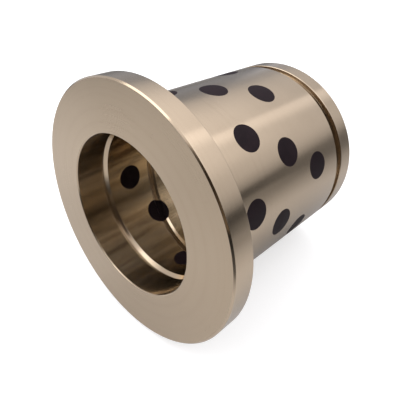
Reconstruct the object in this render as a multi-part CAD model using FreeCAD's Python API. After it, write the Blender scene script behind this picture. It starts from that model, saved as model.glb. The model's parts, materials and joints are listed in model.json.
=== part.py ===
"""Flanged self-lubricating bronze bushing: one turned body and twenty-four solid graphite plugs.

The bore's axis lies along Y. The origin is on that axis, in the plane of the flange's back face, which
seats against the housing. The barrel runs towards +Y and the flange's thrust face looks towards -Y.
Angles round the axis are measured from +Z towards +X. All sizes are in millimetres.
"""

import FreeCAD, Part
import math
import os

from FreeCAD import Vector

# Driving dimensions of the bronze body.
BORE_D = 80.0
BARREL_D = 100.0
FLANGE_D = 130.0
FLANGE_THICKNESS = 12.0
OVERALL_LENGTH = 120.0

# Broken edges and chamfers.
BORE_CHAMFER = 0.5
FLANGE_FRONT_CHAMFER = 0.7
FLANGE_BACK_CHAMFER = 1.0
LEAD_IN_CHAMFER = 1.2
GROOVE_EDGE_BREAK = 0.3

# Square groove turned round the barrel near its plain end.
BARREL_GROOVE_Y = 92.0
BARREL_GROOVE_WIDTH = 5.0
BARREL_GROOVE_DEPTH = 2.0

# Grease groove turned in the bore near the flange end, with both flanks at 45 degrees.
MOUTH_GROOVE_Y = 5.3
MOUTH_GROOVE_WIDTH = 3.8
MOUTH_GROOVE_DEPTH = 1.7

# Oil groove that runs once round the bore on a tilt, with both flanks at 45 degrees.
OIL_GROOVE_MID_Y = 30.0
OIL_GROOVE_RISE = 8.0
OIL_GROOVE_PEAK_DEG = 285.0
OIL_GROOVE_WIDTH = 5.0
OIL_GROOVE_DEPTH = 1.2

# Graphite plugs: rings along the barrel, each ring turned from the one before it.
PLUG_D = 14.0
RINGS = 6
PLUGS_PER_RING = 4
FIRST_RING_Y = 21.5
RING_PITCH = 10.25
FIRST_PLUG_DEG = -11.0
RING_TWIST_DEG = 52.9

# Sizes that follow from the driving ones.
BORE_R = BORE_D / 2
BARREL_R = BARREL_D / 2
FLANGE_R = FLANGE_D / 2
FRONT_Y = -FLANGE_THICKNESS
PLAIN_END_Y = OVERALL_LENGTH - FLANGE_THICKNESS
PLUG_R = PLUG_D / 2
SPARE = 5.0

ORIGIN = Vector(0, 0, 0)
AXIS = Vector(0, 1, 0)


def radial(angle_deg):
    """Unit vector out from the axis, at an angle from +Z towards +X."""
    angle = math.radians(angle_deg)
    return Vector(math.sin(angle), 0, math.cos(angle))


def turned(outline):
    """Solid of revolution about the bore's axis, from a closed outline of (radius, y) points."""
    corners = [Vector(radius, y, 0) for radius, y in outline + outline[:1]]
    face = Part.Face(Part.makePolygon(corners))
    return face.revolve(ORIGIN, AXIS, 360)


def body_outline():
    """The turned outline, from the bore's mouth over the flange, along the barrel and back down the bore."""
    groove_end_y = BARREL_GROOVE_Y + BARREL_GROOVE_WIDTH
    groove_floor_r = BARREL_R - BARREL_GROOVE_DEPTH
    mouth_side_y = MOUTH_GROOVE_Y - MOUTH_GROOVE_WIDTH / 2
    deep_side_y = MOUTH_GROOVE_Y + MOUTH_GROOVE_WIDTH / 2
    mouth_floor_r = BORE_R + MOUTH_GROOVE_DEPTH
    return [
        (BORE_R, FRONT_Y + BORE_CHAMFER),
        (BORE_R + BORE_CHAMFER, FRONT_Y),
        (FLANGE_R - FLANGE_FRONT_CHAMFER, FRONT_Y),
        (FLANGE_R, FRONT_Y + FLANGE_FRONT_CHAMFER),
        (FLANGE_R, -FLANGE_BACK_CHAMFER),
        (FLANGE_R - FLANGE_BACK_CHAMFER, 0),
        (BARREL_R, 0),
        (BARREL_R, BARREL_GROOVE_Y),
        (groove_floor_r, BARREL_GROOVE_Y),
        (groove_floor_r, groove_end_y),
        (BARREL_R - GROOVE_EDGE_BREAK, groove_end_y),
        (BARREL_R, groove_end_y + GROOVE_EDGE_BREAK),
        (BARREL_R, PLAIN_END_Y - LEAD_IN_CHAMFER),
        (BARREL_R - LEAD_IN_CHAMFER, PLAIN_END_Y),
        (BORE_R + BORE_CHAMFER, PLAIN_END_Y),
        (BORE_R, PLAIN_END_Y - BORE_CHAMFER),
        (BORE_R, deep_side_y),
        (mouth_floor_r, deep_side_y - MOUTH_GROOVE_DEPTH),
        (mouth_floor_r, mouth_side_y + MOUTH_GROOVE_DEPTH),
        (BORE_R, mouth_side_y),
    ]


def oil_groove():
    """Ring that cuts the oil groove. It is turned square to the axis, then sheared along it to the tilt."""
    half_floor = OIL_GROOVE_WIDTH / 2 - OIL_GROOVE_DEPTH
    half_mouth = OIL_GROOVE_WIDTH / 2 + SPARE
    ring = turned([
        (BORE_R - SPARE, OIL_GROOVE_MID_Y - half_mouth),
        (BORE_R + OIL_GROOVE_DEPTH, OIL_GROOVE_MID_Y - half_floor),
        (BORE_R + OIL_GROOVE_DEPTH, OIL_GROOVE_MID_Y + half_floor),
        (BORE_R - SPARE, OIL_GROOVE_MID_Y + half_mouth),
    ])
    slope = radial(OIL_GROOVE_PEAK_DEG) * (OIL_GROOVE_RISE / BORE_R)
    shear = FreeCAD.Matrix()
    shear.A21, shear.A23 = slope.x, slope.z
    return ring.transformGeometry(shear)


def plug_places():
    """Ring number, plug number, height along the axis and angle of every plug."""
    for ring in range(RINGS):
        for place in range(PLUGS_PER_RING):
            y = FIRST_RING_Y + RING_PITCH * ring
            angle = FIRST_PLUG_DEG + RING_TWIST_DEG * ring + 360 / PLUGS_PER_RING * place
            yield ring + 1, place + 1, y, angle


def plug_hole(y, angle):
    """Cylinder drilled out through the wall."""
    direction = radial(angle)
    start = Vector(0, y, 0) + direction * (BORE_R - SPARE)
    return Part.makeCylinder(PLUG_R, BARREL_R - BORE_R + 2 * SPARE, start, direction)


def plug_wall():
    """The stretch of wall that the plugs are trimmed flush with."""
    inner, outer = (Part.makeCylinder(r, PLAIN_END_Y, ORIGIN, AXIS) for r in (BORE_R, BARREL_R))
    return outer.cut(inner)


def export(shape, node):
    """Writes the one solid of a piece, after checking that it is a single valid solid."""
    if len(shape.Solids) != 1 or not shape.isValid():
        raise ValueError(f"{node} has {len(shape.Solids)} solids, valid {shape.isValid()}")
    solid = shape.Solids[0]
    solid.exportStep(f"parts/{node}.step")
    print(f"{node}: {solid.Volume:.1f} mm3")


os.makedirs("parts", exist_ok=True)

oil_cutter = oil_groove()
holes = [plug_hole(y, angle) for _, _, y, angle in plug_places()]
body = turned(body_outline())
body = body.cut([oil_cutter] + holes)
export(body, "bronze_body")

wall = plug_wall()
for ring, place, y, angle in plug_places():
    plug = plug_hole(y, angle).common(wall).cut(oil_cutter)
    export(plug, f"graphite_plug_ring{ring}_{place}")
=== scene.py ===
"""Looks of a flanged bronze bushing with graphite plugs, on a pale studio floor.

The bore's axis lies along Y, the flange's thrust face looks towards -Y, and +Z is up. Lengths are in
metres. Angles round the axis are measured from +Z towards +X, as in the CAD model.
"""

import json
import math

import bmesh
import bpy
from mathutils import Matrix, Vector


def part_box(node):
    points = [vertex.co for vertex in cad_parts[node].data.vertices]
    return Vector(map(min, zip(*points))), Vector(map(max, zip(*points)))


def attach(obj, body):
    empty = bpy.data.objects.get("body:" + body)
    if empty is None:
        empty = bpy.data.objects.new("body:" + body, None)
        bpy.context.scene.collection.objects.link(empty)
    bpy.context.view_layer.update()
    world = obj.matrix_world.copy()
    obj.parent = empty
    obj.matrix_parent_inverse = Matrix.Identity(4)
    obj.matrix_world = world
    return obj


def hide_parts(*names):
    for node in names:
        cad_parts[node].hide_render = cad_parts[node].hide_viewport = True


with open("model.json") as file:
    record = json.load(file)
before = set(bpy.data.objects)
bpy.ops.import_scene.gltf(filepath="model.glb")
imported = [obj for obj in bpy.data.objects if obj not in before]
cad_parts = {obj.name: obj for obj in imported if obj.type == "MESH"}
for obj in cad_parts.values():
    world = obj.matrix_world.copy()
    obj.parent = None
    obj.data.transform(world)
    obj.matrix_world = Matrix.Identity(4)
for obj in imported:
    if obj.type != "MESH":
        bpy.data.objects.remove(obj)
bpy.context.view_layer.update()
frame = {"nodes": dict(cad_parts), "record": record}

MM = 0.001
BODY_NODE = "bronze_body"
MOUNTS = {mount["name"]: mount for mount in frame["record"]["mounts"]}

# Main sizes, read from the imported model.
BORE_R = MOUNTS["shaft_bore"]["dims"]["r_mm"] * MM
BARREL_R = MOUNTS["housing_seat"]["dims"]["r_mm"] * MM
FLANGE_R = max(math.hypot(v.co.x, v.co.z) for v in frame["nodes"][BODY_NODE].data.vertices)
FRONT_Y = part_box(BODY_NODE)[0].y
PLAIN_END_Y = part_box(BODY_NODE)[1].y
SEAT_Y = 0.0

# Edges and grooves, the same as the design's.
BORE_CHAMFER = 0.5 * MM
FLANGE_FRONT_CHAMFER = 0.7 * MM
FLANGE_BACK_CHAMFER = 1.0 * MM
LEAD_IN_CHAMFER = 1.2 * MM
BARREL_GROOVE_Y = MOUNTS["housing_seat"]["dims"]["length_mm"] * MM
BARREL_GROOVE_WIDTH = 5.0 * MM
BARREL_GROOVE_DEPTH = 2.0 * MM
GROOVE_EDGE_BREAK = 0.3 * MM
MOUTH_GROOVE_Y = 5.3 * MM
MOUTH_GROOVE_WIDTH = 3.8 * MM
MOUTH_GROOVE_DEPTH = 1.7 * MM
OIL_GROOVE_MID_Y = 30.0 * MM
OIL_GROOVE_RISE = 8.0 * MM
OIL_GROOVE_PEAK_DEG = 285.0
OIL_GROOVE_WIDTH = 5.0 * MM
OIL_GROOVE_DEPTH = 1.2 * MM

# Plugs. Their places along the axis come from the CAD nodes.
RINGS = 6
PLUGS_PER_RING = 4
FIRST_PLUG_DEG = -11.0
RING_TWIST_DEG = 52.9

# Fineness of the meshes.
TURNS = 288
ROW_LENGTH = 2.5 * MM
PLUG_SIDES = 72
PLUG_RINGS = 6
SHARP_ANGLE = math.radians(24)

# How far back from a corner its rounding starts, at most, and as a share of the shorter edge beside it.
EDGE_ROUND = 0.12 * MM
EDGE_ROUND_SHARE = 0.3
ROUND_STEPS = 3

# How far the cutters reach past what they cut.
GROOVE_SPARE = 1.0 * MM
HOLE_SPARE = 4.0 * MM

# Surfaces of the bronze, in the order of the body's material slots.
FACE, TURNED, BORE, GROOVE, GROOVE_FLOOR = range(5)


# ---------------------------------------------------------------- meshes


def radial(angle_deg):
    """Unit vector out from the axis, at an angle from +Z towards +X."""
    angle = math.radians(angle_deg)
    return Vector((math.sin(angle), 0, math.cos(angle)))


def new_object(name, data):
    """Object in the scene that holds a mesh, a camera or a light."""
    piece = bpy.data.objects.new(name, data)
    bpy.context.scene.collection.objects.link(piece)
    return piece


def mesh_object(name, bm):
    """Object made from a finished mesh, its faces all looking outwards."""
    bmesh.ops.recalc_face_normals(bm, faces=bm.faces)
    mesh = bpy.data.meshes.new(name)
    bm.to_mesh(mesh)
    bm.free()
    return new_object(name, mesh)


def rounded_corner(before, corner, after, reach):
    """Points of a small arc that rounds one corner of an outline, starting reach away from it."""
    start = corner + (before - corner).normalized() * reach
    end = corner + (after - corner).normalized() * reach
    points = []
    for step in range(ROUND_STEPS + 1):
        t = step / ROUND_STEPS
        points.append(start.lerp(corner, t).lerp(corner.lerp(end, t), t))
    return points


def smooth_outline(corners):
    """The outline with its corners rounded and its long straight runs divided."""
    points = [Vector((radius, y)) for radius, y, _ in corners]
    outline = []
    for i, (_, _, surface) in enumerate(corners):
        before, corner, after = points[i - 1], points[i], points[(i + 1) % len(points)]
        shortest = min((corner - before).length, (after - corner).length)
        reach = min(EDGE_ROUND, shortest * EDGE_ROUND_SHARE)
        outline += [(point, surface) for point in rounded_corner(before, corner, after, reach)]
    divided = []
    for i, (point, surface) in enumerate(outline):
        following = outline[(i + 1) % len(outline)][0]
        rows = max(1, round((following - point).length / ROW_LENGTH))
        divided += [(point.lerp(following, row / rows), surface) for row in range(rows)]
    return divided


def turned(name, corners, start_turn=0.0):
    """Lathes a closed outline round the axis, starting some part of a step round."""
    outline = smooth_outline(corners)
    bm = bmesh.new()
    rows = []
    for turn in range(TURNS):
        out = radial(360 * (turn + start_turn) / TURNS)
        rows.append([bm.verts.new(out * point.x + Vector((0, point.y, 0))) for point, _ in outline])
    for turn in range(TURNS):
        here, there = rows[turn], rows[(turn + 1) % TURNS]
        for i, (_, surface) in enumerate(outline):
            j = (i + 1) % len(outline)
            face = bm.faces.new((here[i], here[j], there[j], there[i]))
            face.material_index = surface
    return mesh_object(name, bm)


def body_outline():
    """Closed outline of the body as (radius, y, surface) points. Each surface runs on from its point."""
    groove_end_y = BARREL_GROOVE_Y + BARREL_GROOVE_WIDTH
    groove_floor_r = BARREL_R - BARREL_GROOVE_DEPTH
    mouth_side_y = MOUTH_GROOVE_Y - MOUTH_GROOVE_WIDTH / 2
    deep_side_y = MOUTH_GROOVE_Y + MOUTH_GROOVE_WIDTH / 2
    mouth_floor_r = BORE_R + MOUTH_GROOVE_DEPTH
    return [
        (BORE_R, FRONT_Y + BORE_CHAMFER, TURNED),
        (BORE_R + BORE_CHAMFER, FRONT_Y, FACE),
        (FLANGE_R - FLANGE_FRONT_CHAMFER, FRONT_Y, TURNED),
        (FLANGE_R, FRONT_Y + FLANGE_FRONT_CHAMFER, TURNED),
        (FLANGE_R, SEAT_Y - FLANGE_BACK_CHAMFER, TURNED),
        (FLANGE_R - FLANGE_BACK_CHAMFER, SEAT_Y, FACE),
        (BARREL_R, SEAT_Y, TURNED),
        (BARREL_R, BARREL_GROOVE_Y, GROOVE),
        (groove_floor_r, BARREL_GROOVE_Y, GROOVE),
        (groove_floor_r, groove_end_y, GROOVE),
        (BARREL_R - GROOVE_EDGE_BREAK, groove_end_y, TURNED),
        (BARREL_R, groove_end_y + GROOVE_EDGE_BREAK, TURNED),
        (BARREL_R, PLAIN_END_Y - LEAD_IN_CHAMFER, TURNED),
        (BARREL_R - LEAD_IN_CHAMFER, PLAIN_END_Y, FACE),
        (BORE_R + BORE_CHAMFER, PLAIN_END_Y, TURNED),
        (BORE_R, PLAIN_END_Y - BORE_CHAMFER, BORE),
        (BORE_R, deep_side_y, GROOVE),
        (mouth_floor_r, deep_side_y - MOUTH_GROOVE_DEPTH, GROOVE),
        (mouth_floor_r, mouth_side_y + MOUTH_GROOVE_DEPTH, GROOVE),
        (BORE_R, mouth_side_y, BORE),
    ]


def oil_groove_cutter():
    """Ring turned square to the axis, then sheared along it to the oil groove's tilt."""
    inner_r = BORE_R - GROOVE_SPARE
    floor_r = BORE_R + OIL_GROOVE_DEPTH
    half_mouth = OIL_GROOVE_WIDTH / 2 + GROOVE_SPARE
    half_floor = OIL_GROOVE_WIDTH / 2 - OIL_GROOVE_DEPTH
    corners = [
        (inner_r, OIL_GROOVE_MID_Y - half_mouth, GROOVE),
        (floor_r, OIL_GROOVE_MID_Y - half_floor, GROOVE_FLOOR),
        (floor_r, OIL_GROOVE_MID_Y + half_floor, GROOVE),
        (inner_r, OIL_GROOVE_MID_Y + half_mouth, GROOVE),
    ]
    cutter = turned("oil_groove_cutter", corners, start_turn=0.5)
    slope = radial(OIL_GROOVE_PEAK_DEG) * (OIL_GROOVE_RISE / BORE_R)
    for vertex in cutter.data.vertices:
        vertex.co.y += slope.dot(vertex.co)
    return cutter


def plug_places():
    """Node name, centre along the axis, angle and radius of every plug."""
    for ring in range(RINGS):
        for place in range(PLUGS_PER_RING):
            node = f"graphite_plug_ring{ring + 1}_{place + 1}"
            low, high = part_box(node)
            angle = FIRST_PLUG_DEG + RING_TWIST_DEG * ring + 360 / PLUGS_PER_RING * place
            yield node, (low.y + high.y) / 2, angle, (high.y - low.y) / 2


def bridge(bm, first, second):
    """Joins two circles of vertices with a band of faces."""
    for side in range(PLUG_SIDES):
        after = (side + 1) % PLUG_SIDES
        bm.faces.new((first[side], first[after], second[after], second[side]))


def add_column(bm, y, angle, radius, ends):
    """Round column out through the wall. Each end gives its distance from the axis at a sideways offset."""
    out, aside, along = radial(angle), radial(angle + 90), Vector((0, 1, 0))

    def vertex(end, distance, turn):
        sideways = distance * math.sin(turn)
        return bm.verts.new(along * (y + distance * math.cos(turn)) + aside * sideways + out * end(sideways))

    def circle(end, distance):
        return [vertex(end, distance, 2 * math.pi * side / PLUG_SIDES) for side in range(PLUG_SIDES)]

    rims = [circle(end, radius) for end in ends]
    bridge(bm, *rims)
    for end, rim in zip(ends, rims):
        outer = rim
        for ring in range(PLUG_RINGS - 1, 0, -1):
            inner = circle(end, radius * ring / PLUG_RINGS)
            bridge(bm, outer, inner)
            outer = inner
        middle = vertex(end, 0, 0)
        for side in range(PLUG_SIDES):
            bm.faces.new((outer[side], outer[(side + 1) % PLUG_SIDES], middle))


def plug_hole_cutter():
    """All the drilled holes as one mesh."""
    ends = [lambda sideways: BORE_R - HOLE_SPARE, lambda sideways: BARREL_R + HOLE_SPARE]
    bm = bmesh.new()
    for _, y, angle, radius in plug_places():
        add_column(bm, y, angle, radius, ends)
    for face in bm.faces:
        face.material_index = GROOVE
    return mesh_object("plug_hole_cutter", bm)


def plug_object(name, y, angle, radius):
    """One graphite plug, its two ends curved to lie flush with the bore and the barrel."""

    def flush_with(surface_r):
        return lambda sideways: math.sqrt(surface_r**2 - sideways**2)

    bm = bmesh.new()
    add_column(bm, y, angle, radius, [flush_with(BORE_R), flush_with(BARREL_R)])
    return mesh_object(name, bm)


def cut(piece, cutter):
    """Takes the cutter away from the piece, for good."""
    modifier = piece.modifiers.new("cut", "BOOLEAN")
    modifier.operation = "DIFFERENCE"
    modifier.solver = "EXACT"
    modifier.object = cutter
    graph = bpy.context.evaluated_depsgraph_get()
    mesh = bpy.data.meshes.new_from_object(piece.evaluated_get(graph))
    piece.modifiers.remove(modifier)
    piece.data = mesh


def shade(piece):
    """Smooth shading with crisp edges."""
    piece.data.shade_smooth()
    piece.data.set_sharp_from_angle(angle=SHARP_ANGLE)
    modifier = piece.modifiers.new("even_normals", "WEIGHTED_NORMAL")
    modifier.keep_sharp = True


# ---------------------------------------------------------------- shader nodes

NOISE_ROUGHNESS = 0.55


class Nodes:
    """Short calls for the nodes of one material or world."""

    def __init__(self, owner):
        owner.use_nodes = True
        self.tree = owner.node_tree
        self.tree.nodes.clear()

    def add(self, kind, inputs=None, **settings):
        node = self.tree.nodes.new(kind)
        for name, value in settings.items():
            setattr(node, name, value)
        for name, value in (inputs or {}).items():
            self.feed(node.inputs[name], value)
        return node

    def feed(self, socket, value):
        """Links another node's output to a socket, or sets the socket to a plain value."""
        if isinstance(value, bpy.types.NodeSocket):
            self.tree.links.new(value, socket)
        else:
            socket.default_value = value

    def math(self, operation, *values):
        return self.add("ShaderNodeMath", dict(enumerate(values)), operation=operation).outputs[0]

    def noise(self, place, scale, detail):
        inputs = {"Vector": place, "Scale": scale, "Detail": detail, "Roughness": NOISE_ROUGHNESS}
        return self.add("ShaderNodeTexNoise", inputs, noise_dimensions="3D").outputs["Fac"]

    def lines(self, travel, scale, detail):
        """Noise that changes with one length only, so it draws lines across it."""
        inputs = {"W": travel, "Scale": scale, "Detail": detail, "Roughness": NOISE_ROUGHNESS}
        return self.add("ShaderNodeTexNoise", inputs, noise_dimensions="1D").outputs["Fac"]

    def span(self, value, low, high, to_low, to_high):
        """Maps a range of a value onto another range, and holds it at the ends."""
        node = self.add("ShaderNodeMapRange", clamp=True)
        for socket, number in zip(node.inputs, (value, low, high, to_low, to_high)):
            self.feed(socket, number)
        return node.outputs["Result"]

    def mix(self, factor, first, second):
        """Colour between two others. A mix node's colour sockets are numbers 6 and 7."""
        return self.add("ShaderNodeMix", {0: factor, 6: first, 7: second}, data_type="RGBA").outputs[2]

    def blend(self, factor, first, second):
        """Number between two others. A mix node's number sockets are numbers 2 and 3."""
        return self.add("ShaderNodeMix", {0: factor, 2: first, 3: second}, data_type="FLOAT").outputs[0]

    def bump(self, depth, height, normal=None):
        inputs = {"Strength": 1.0, "Distance": depth, "Height": height}
        if normal is not None:
            inputs["Normal"] = normal
        return self.add("ShaderNodeBump", inputs).outputs["Normal"]

    def along(self, vector, aim):
        """Reach of a vector along an aim. For a direction it is 1 straight at the aim and 0 square to it."""
        inputs = {0: vector, 1: Vector(aim).normalized()}
        return self.add("ShaderNodeVectorMath", inputs, operation="DOT_PRODUCT").outputs["Value"]

    def away(self, place, centre):
        """Distance of a place from a centre."""
        return self.add("ShaderNodeVectorMath", {0: place, 1: centre}, operation="DISTANCE").outputs["Value"]

    def unless_camera(self, seen, otherwise):
        """Number that differs between what the camera sees and what lights and reflects in the object."""
        camera_ray = self.add("ShaderNodeLightPath").outputs["Is Camera Ray"]
        return self.blend(camera_ray, otherwise, seen)

    def surface(self, inputs):
        """Ends a material with its surface."""
        shader = self.add("ShaderNodeBsdfPrincipled", inputs)
        self.add("ShaderNodeOutputMaterial", {"Surface": shader.outputs["BSDF"]})


# ---------------------------------------------------------------- materials

# Base colours of the bronze: usual, pale and brown. In the bore the brown lies in streaks drawn out along
# the axis. The grooves' tints are lighter, painted light; the oil groove's floor is darkest, painted shade.
OUTSIDE_TINTS = ((0.435, 0.345, 0.250, 1), (0.475, 0.382, 0.282, 1), (0.320, 0.236, 0.158, 1))
BORE_TINTS = ((0.540, 0.430, 0.290, 1), (0.610, 0.490, 0.340, 1), (0.300, 0.225, 0.135, 1))
# Painted light: the grooves' tints are lighter than the outside's, against the shade in them.
PAINTED_LIGHT_GROOVE_TINTS = ((0.470, 0.375, 0.270, 1), (0.510, 0.410, 0.300, 1), (0.330, 0.245, 0.165, 1))
# Painted shade: the oil groove's floor is darker than the rest of the bronze.
PAINTED_SHADE_GROOVE_FLOOR_TINTS = ((0.225, 0.160, 0.100, 1), (0.265, 0.195, 0.125, 1), (0.150, 0.105, 0.065, 1))

# Grain of the bronze: noise scales per metre, and the broad tool marks' scale and height as shares of the
# fine ones'. Streaks are drawn out along the axis.
CLOUD_SCALE = 30.0
SPECK_SCALE = 900.0
STREAK_SCALE = 210.0
STREAK_STRETCH = (1.0, 0.04, 1.0)
BROAD_MARK_SCALE = 0.12
BROAD_MARK_HEIGHT = 0.8

# How much of a tint the grain brings: noise value from and to, and the shares of the tint there.
PALE_CLOUDS = (0.35, 0.70, 0.0, 0.5)
BROWN_MARKS = (0.45, 0.80, 0.0, 0.09)
BROWN_STREAKS = (0.42, 0.62, 0.0, 0.85)
BROWN_SPECKS = (0.60, 0.85)
SPECK_SHARE = 0.12

# Roughness that clouds and fine marks take off and add: noise value from and to, least and most.
ROUGH_NOISE = (0.3, 0.7)
LESS_ROUGH = -0.02
MORE_ROUGH = 0.03

# The tangent runs round the axis. A quarter turn stretches the sheen across the tool marks.
SHEEN_TURN = 0.25

# Graphite: base colours, the grain's noise scales per metre, its depth and its faint gloss.
GRAPHITE_DARK = (0.0115, 0.0062, 0.0080, 1)
GRAPHITE_PALE = (0.0185, 0.0108, 0.0132, 1)
GRAPHITE_RUB = (0.034, 0.028, 0.030, 1)
GRAIN_SCALE = 1500.0
PATCH_SCALE = 180.0
CUT_MARK_SCALE = 2200.0
GRAIN_HEIGHT = 0.6
CUT_MARK_HEIGHT = 0.4
GRAPHITE_BUMP = 0.03 * MM
GRAPHITE_GLOSS = 0.06

# Shares of a tint, and roughness, over the graphite's grain, in the same order as the bronze's.
PALE_PATCHES = (0.35, 0.7, 0.0, 1.0)
RUBBED_GRAINS = (0.62, 0.8, 0.0, 0.5)
PATCH_ROUGHNESS = (0.3, 0.7, 0.42, 0.56)


def out_from_axis(n, xyz):
    """Distance of a place from the bore's axis."""
    squares = n.math("ADD", n.math("POWER", xyz["X"], 2.0), n.math("POWER", xyz["Z"], 2.0))
    return n.math("SQRT", squares)


def bronze(
    name, tints, roughness, anisotropy, marks_along, marks_pitch, marks_depth, browning=0.0, streaks=0.0
):
    """Turned bronze. marks_along is Y where the tool moved along the axis, or R where it moved outwards.

    browning is the share of the brown tint all over. streaks is the depth of those drawn along the bore.
    """
    usual, pale, brown = tints
    material = bpy.data.materials.new(name)
    n = Nodes(material)
    place = n.add("ShaderNodeTexCoord").outputs["Object"]
    xyz = n.add("ShaderNodeSeparateXYZ", {"Vector": place}).outputs
    travel = xyz["Y"] if marks_along == "Y" else out_from_axis(n, xyz)
    fine = n.lines(travel, 1 / marks_pitch, detail=2.0)
    broad = n.lines(travel, BROAD_MARK_SCALE / marks_pitch, detail=3.0)
    cloud = n.noise(place, CLOUD_SCALE, detail=4.0)
    speck = n.noise(place, SPECK_SCALE, detail=2.0)

    tint = n.mix(n.span(cloud, *PALE_CLOUDS), usual, pale)
    tint = n.mix(n.span(broad, *BROWN_MARKS), tint, brown)
    tint = n.mix(n.span(speck, *BROWN_SPECKS, browning, browning + SPECK_SHARE), tint, brown)
    rough = n.span(cloud, *ROUGH_NOISE, roughness + LESS_ROUGH, roughness + MORE_ROUGH)
    rough = n.math("ADD", rough, n.span(fine, *ROUGH_NOISE, LESS_ROUGH, MORE_ROUGH))

    normal = None
    if streaks:
        inputs = {0: place, 1: STREAK_STRETCH}
        drawn = n.add("ShaderNodeVectorMath", inputs, operation="MULTIPLY").outputs["Vector"]
        streak = n.noise(drawn, STREAK_SCALE, detail=2.0)
        tint = n.mix(n.span(streak, *BROWN_STREAKS), tint, brown)
        normal = n.bump(streaks, streak)
    marks = n.math("ADD", fine, n.math("MULTIPLY", broad, BROAD_MARK_HEIGHT))
    tangent = n.add("ShaderNodeTangent", direction_type="RADIAL", axis="Y").outputs["Tangent"]
    n.surface({
        "Base Color": tint,
        "Metallic": 1.0,
        "Roughness": rough,
        "Anisotropic": anisotropy,
        "Anisotropic Rotation": SHEEN_TURN,
        "Normal": n.bump(marks_depth, marks, normal),
        "Tangent": tangent,
    })
    return material


def graphite(name):
    """Solid graphite, cut flush: near black, with fine pores and a faint grey rub."""
    material = bpy.data.materials.new(name)
    n = Nodes(material)
    place = n.add("ShaderNodeTexCoord").outputs["Object"]
    xyz = n.add("ShaderNodeSeparateXYZ", {"Vector": place}).outputs
    grain = n.noise(place, GRAIN_SCALE, detail=3.0)
    patch = n.noise(place, PATCH_SCALE, detail=4.0)
    cut_marks = n.lines(xyz["Y"], CUT_MARK_SCALE, detail=2.0)
    tint = n.mix(n.span(patch, *PALE_PATCHES), GRAPHITE_DARK, GRAPHITE_PALE)
    tint = n.mix(n.span(grain, *RUBBED_GRAINS), tint, GRAPHITE_RUB)
    grain_height = n.math("MULTIPLY", grain, GRAIN_HEIGHT)
    height = n.math("ADD", grain_height, n.math("MULTIPLY", cut_marks, CUT_MARK_HEIGHT))
    n.surface({
        "Base Color": tint,
        "Roughness": n.span(patch, *PATCH_ROUGHNESS),
        "Specular IOR Level": GRAPHITE_GLOSS,
        "Normal": n.bump(GRAPHITE_BUMP, height),
    })
    return material


def bronze_materials():
    """The bronze's finishes, in the order of the surfaces: face, turned, bore, groove, groove floor."""
    return [
        bronze("bronze_faced", OUTSIDE_TINTS, roughness=0.30, anisotropy=0.5,
               marks_along="R", marks_pitch=0.4 * MM, marks_depth=0.0008 * MM),
        bronze("bronze_turned", OUTSIDE_TINTS, roughness=0.18, anisotropy=0.75,
               marks_along="Y", marks_pitch=0.25 * MM, marks_depth=0.0008 * MM),
        bronze("bronze_bored", BORE_TINTS, roughness=0.21, anisotropy=0.92, marks_along="Y",
               marks_pitch=0.2 * MM, marks_depth=0.0005 * MM, browning=0.05, streaks=0.045 * MM),
        # The grooves, with painted light in their lighter tints.
        bronze("bronze_grooved_painted_light", PAINTED_LIGHT_GROOVE_TINTS, roughness=0.18, anisotropy=0.3,
               marks_along="Y", marks_pitch=0.3 * MM, marks_depth=0.001 * MM, browning=0.05),
        # The oil groove's floor, with painted shade in its dark tints.
        bronze("bronze_groove_floor_painted_shade", PAINTED_SHADE_GROOVE_FLOOR_TINTS, roughness=0.25, anisotropy=0.3,
               marks_along="Y", marks_pitch=0.3 * MM, marks_depth=0.001 * MM, browning=0.05),
    ]


# ---------------------------------------------------------------- the object


def build_bushing():
    """The bronze body and its plugs. Cutters carry the body's materials, so that each cut keeps its own."""
    body = turned("bronze_bushing_body", body_outline())
    oil_groove = oil_groove_cutter()
    holes = plug_hole_cutter()
    materials = bronze_materials()
    for piece in (body, oil_groove, holes):
        for material in materials:
            piece.data.materials.append(material)
    cut(body, oil_groove)
    cut(body, holes)
    shade(body)
    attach(body, "root")
    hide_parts(BODY_NODE)

    black = graphite("graphite_flush")
    for node, y, angle, radius in plug_places():
        plug = plug_object(node.replace("graphite", "black"), y, angle, radius)
        if abs(y - OIL_GROOVE_MID_Y) < OIL_GROOVE_RISE + OIL_GROOVE_WIDTH + radius:
            cut(plug, oil_groove)
        plug.data.materials.clear()
        plug.data.materials.append(black)
        shade(plug)
        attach(plug, "root")
        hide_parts(node)
    for cutter in (oil_groove, holes):
        bpy.data.objects.remove(cutter)


# ---------------------------------------------------------------- camera

CAMERA_AZIMUTH = 45.84
CAMERA_ELEVATION = 28.78
CAMERA_BACK = 2.941 * FLANGE_R
CAMERA_RIGHT = 0.387 * FLANGE_R
CAMERA_UP = 0.318 * FLANGE_R
CAMERA_LENS = 37.16
CAMERA_SHIFT = (0.0522, -0.0686)
CAMERA_NEAR = 0.01


def camera():
    """Looks at the flange's face from its front right and above, as far off as three flange radii."""
    azimuth, elevation = math.radians(CAMERA_AZIMUTH), math.radians(CAMERA_ELEVATION)
    level_back = Vector((math.sin(azimuth), -math.cos(azimuth), 0))
    back = level_back * math.cos(elevation) + Vector((0, 0, math.sin(elevation)))
    right = Vector((math.cos(azimuth), math.sin(azimuth), 0))
    up = back.cross(right)
    data = bpy.data.cameras.new("camera")
    data.lens = CAMERA_LENS
    data.shift_x, data.shift_y = CAMERA_SHIFT
    data.clip_start = CAMERA_NEAR
    viewer = new_object("camera", data)
    viewer.rotation_mode = "QUATERNION"
    viewer.rotation_quaternion = back.to_track_quat("Z", "Y")
    face_centre = Vector((0, FRONT_Y, 0))
    viewer.location = face_centre + back * CAMERA_BACK + right * CAMERA_RIGHT + up * CAMERA_UP
    bpy.context.scene.camera = viewer


# ---------------------------------------------------------------- floor

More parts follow.
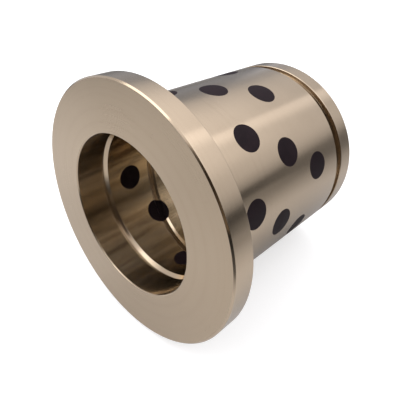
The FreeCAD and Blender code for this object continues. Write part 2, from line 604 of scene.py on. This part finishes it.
# The floor's outline, and how grey it is and how much it glows, as seen and as reflected.
FLOOR_R = 6.0
FLOOR_SIDES = 96
FLOOR_ROUGHNESS = 0.9
SEEN_GREY = 0.50
SEEN_GLOW = 0.62
REFLECTED_GREY = 0.60
REFLECTED_GLOW = 0.10

# Painted light on the floor, seen only in reflections, darker far off: centre, then full within, gone
# beyond, level within and beyond.
REFLECTED_LIGHT_CENTRE = (-0.20, -0.10, 0)
REFLECTED_LIGHT_FADE = (0.36, 0.60, 0.87, 0.25)

# Painted shade on the reflected floor at the front right: direction, then start and end of its edge and
# their levels.
REFLECTED_SHADE_AIM = (0.8, -0.6, 0)
REFLECTED_SHADE_FADE = (0.12, 0.19, 1.0, 0.16)

# Painted pools of light on the reflected floor, and one painted shadow under the barrel near its plain end:
# centre, full within, gone beyond, and level.
PAINTED_LIGHT_AND_SHADOW_POOLS = (
    ((-0.22, -0.10, 0), 0.05, 0.13, 1.17),
    ((0.06, 0, 0), 0.10, 0.22, 1.17),
    # Painted shadow under the barrel near its plain end.
    ((0.035, 0.105, 0), 0.015, 0.09, 0.60),
    ((0.44, 0.24, 0), 0.17, 0.21, 1.70),
)


def floor_material():
    """Matt and pale. In the bronze it reflects with painted light and shade, darker far off and at the front
    right, in a dimmer room.
    """
    material = bpy.data.materials.new("pale_floor")
    n = Nodes(material)
    place = n.add("ShaderNodeTexCoord").outputs["Object"]
    # Painted light and shade on the floor, which only reflections see.
    reflected_floor_light = n.span(n.away(place, REFLECTED_LIGHT_CENTRE), *REFLECTED_LIGHT_FADE)
    # Painted pools of light and a painted shadow.
    for centre, full, gone, level in PAINTED_LIGHT_AND_SHADOW_POOLS:
        reflected_floor_light = n.math("MULTIPLY", reflected_floor_light, n.span(n.away(place, centre), full, gone, level, 1.0))
    reflected_floor_light = n.math("MULTIPLY", reflected_floor_light, n.span(n.along(place, REFLECTED_SHADE_AIM), *REFLECTED_SHADE_FADE))
    grey = n.unless_camera(SEEN_GREY, n.math("MULTIPLY", reflected_floor_light, REFLECTED_GREY))
    glow = n.unless_camera(SEEN_GLOW, n.math("MULTIPLY", reflected_floor_light, REFLECTED_GLOW))
    n.surface({
        "Base Color": n.add("ShaderNodeCombineColor", {0: grey, 1: grey, 2: grey}).outputs["Color"],
        "Roughness": FLOOR_ROUGHNESS,
        "Specular IOR Level": 0.0,
        "Emission Color": (1, 1, 1, 1),
        "Emission Strength": glow,
    })
    return material


def floor():
    """Wide pale floor. The bushing lies on it as it would at rest, on the flange's rim and the plain end."""
    bm = bmesh.new()
    bmesh.ops.create_circle(bm, cap_ends=True, segments=FLOOR_SIDES, radius=FLOOR_R)
    plane = mesh_object("floor", bm)
    flange_edge_y = SEAT_Y - FLANGE_BACK_CHAMFER
    plain_edge_y = PLAIN_END_Y - LEAD_IN_CHAMFER
    plane.location = (0, flange_edge_y, -FLANGE_R)
    plane.rotation_euler.x = math.atan2(FLANGE_R - BARREL_R, plain_edge_y - flange_edge_y)
    plane.data.materials.append(floor_material())


# ---------------------------------------------------------------- room and lights

# Directions in the room. The strip light lies square to its aim.
UP = (0, 0, 1)
RIGHT = (1, 0, 0)
BEHIND = (0, 1, 0)
BEHIND_RIGHT = (0.766, 0.643, 0)
BEHIND_LEFT = (-0.643, 0.766, 0)
FRONT_RIGHT = (0.75, -0.66, 0)
WINDOW_AIM = (-0.8, -0.6, 0.25)
STRIP_AIM = (0.954, 0, -0.301)

# Parts of the room, each a product of fades. A fade is an aim, then from and to, as values of how nearly a
# look points at the aim (1 straight at it, 0 square to it), then the levels there.
HORIZON = ((UP, 0.0, 0.26, 0.15, 0.85),)
WALL_TOP = ((UP, 0.40, 0.55, 0.0, 0.37),)
CEILING = ((UP, 0.60, 0.76, 0.0, 0.9),)
WINDOW = ((WINDOW_AIM, 0.53, 0.68, 0.0, 1.15),)
SHADED_WALL = (
    (BEHIND_RIGHT, -0.30, -0.10, 0.45, 1.0),
    (BEHIND_RIGHT, 0.05, 0.28, 1.0, 0.0),
    (BEHIND_LEFT, 0.3, 0.5, 0.0, 1.0),
    (UP, 0.44, 0.54, 1.0, 0.0),
)
RIGHT_WALL = (
    (RIGHT, 0.20, 0.45, 0.0, 1.0),
    (RIGHT, 0.60, 0.75, 1.0, 0.8),
    (UP, 0.0, 0.5, 0.2, 0.6),
)
DARK_GAP = (
    (FRONT_RIGHT, 0.61, 0.68, 0.0, 1.0),
    (UP, 0.62, 0.70, 1.0, 0.0),
)
FAR_GLOW = (
    (BEHIND_RIGHT, 0.03, 0.10, 0.0, 0.45),
    (BEHIND_RIGHT, 0.10, 0.20, 1.0, 0.0),
    (UP, 0.25, 0.35, 1.0, 0.0),
)
STRIP_LIGHT = (
    (STRIP_AIM, -0.075, -0.055, 0.0, 0.75),
    (STRIP_AIM, 0.03, 0.14, 1.0, 0.0),
    (UP, 0.3, 0.4, 0.0, 1.0),
    (BEHIND, -0.2, 0.1, 0.0, 1.0),
)

# Levels and tones of the room. The gap is darker above the horizon than below it.
BACKDROP_LEVEL = 1.0
ROOM_LEVEL = 0.80
SHADE_LEVEL = 0.50
GAP_FADE = (-0.02, 0.06, 0.20, 0.07)
ROOM_TONE = (1.0, 1.0, 1.04, 1)
SHADE_TONE = (0.93, 1.0, 1.16, 1)
GAP_TONE = (1.0, 0.78, 0.56, 1)


def sky():
    """Soft room with a ceiling, walls, a window, a strip light and a gap. The camera sees it plain white."""
    world = bpy.data.worlds.new("studio")
    bpy.context.scene.world = world
    n = Nodes(world)
    look = n.add("ShaderNodeTexCoord").outputs["Generated"]

    def part(fades):
        level = 1.0
        for aim, *fade in fades:
            level = n.math("MULTIPLY", level, n.span(n.along(look, aim), *fade))
        return level

    shade, gap = part(SHADED_WALL), part(DARK_GAP)
    level = n.math("ADD", n.math("ADD", part(HORIZON), part(WALL_TOP)), part(CEILING))
    level = n.blend(shade, level, SHADE_LEVEL)
    level = n.math("ADD", level, part(RIGHT_WALL))
    level = n.blend(gap, level, n.span(n.along(look, UP), *GAP_FADE))
    level = n.math("ADD", level, part(FAR_GLOW))
    level = n.math("MAXIMUM", level, part(WINDOW))
    level = n.math("ADD", level, part(STRIP_LIGHT))
    level = n.math("MULTIPLY", level, ROOM_LEVEL)

    tone = n.mix(n.unless_camera(0.0, shade), ROOM_TONE, SHADE_TONE)
    tone = n.mix(n.unless_camera(0.0, gap), tone, GAP_TONE)
    strength = n.unless_camera(BACKDROP_LEVEL, level)
    background = n.add("ShaderNodeBackground", {"Color": tone, "Strength": strength})
    n.add("ShaderNodeOutputWorld", {"Surface": background.outputs["Background"]})


def soft_light(name, location, size, energy):
    """Square soft light that faces the object."""
    data = bpy.data.lights.new(name, "AREA")
    data.shape = "SQUARE"
    data.size = size
    data.energy = energy
    lamp = new_object(name, data)
    lamp.location = location
    lamp.rotation_mode = "QUATERNION"
    lamp.rotation_quaternion = lamp.location.to_track_quat("Z", "Y")
    return lamp


def lights():
    """One light from the front left, and a weak one behind that isn't mirrored in the bronze."""
    soft_light("front_light", location=(-0.55, -0.75, 1.1), size=1.0, energy=6)
    back_light = soft_light("back_light", location=(-0.45, 0.65, 0.9), size=0.6, energy=3)
    back_light.visible_glossy = False


build_bushing()
camera()
floor()
sky()
lights()
bpy.context.scene.view_settings.view_transform = "Standard"
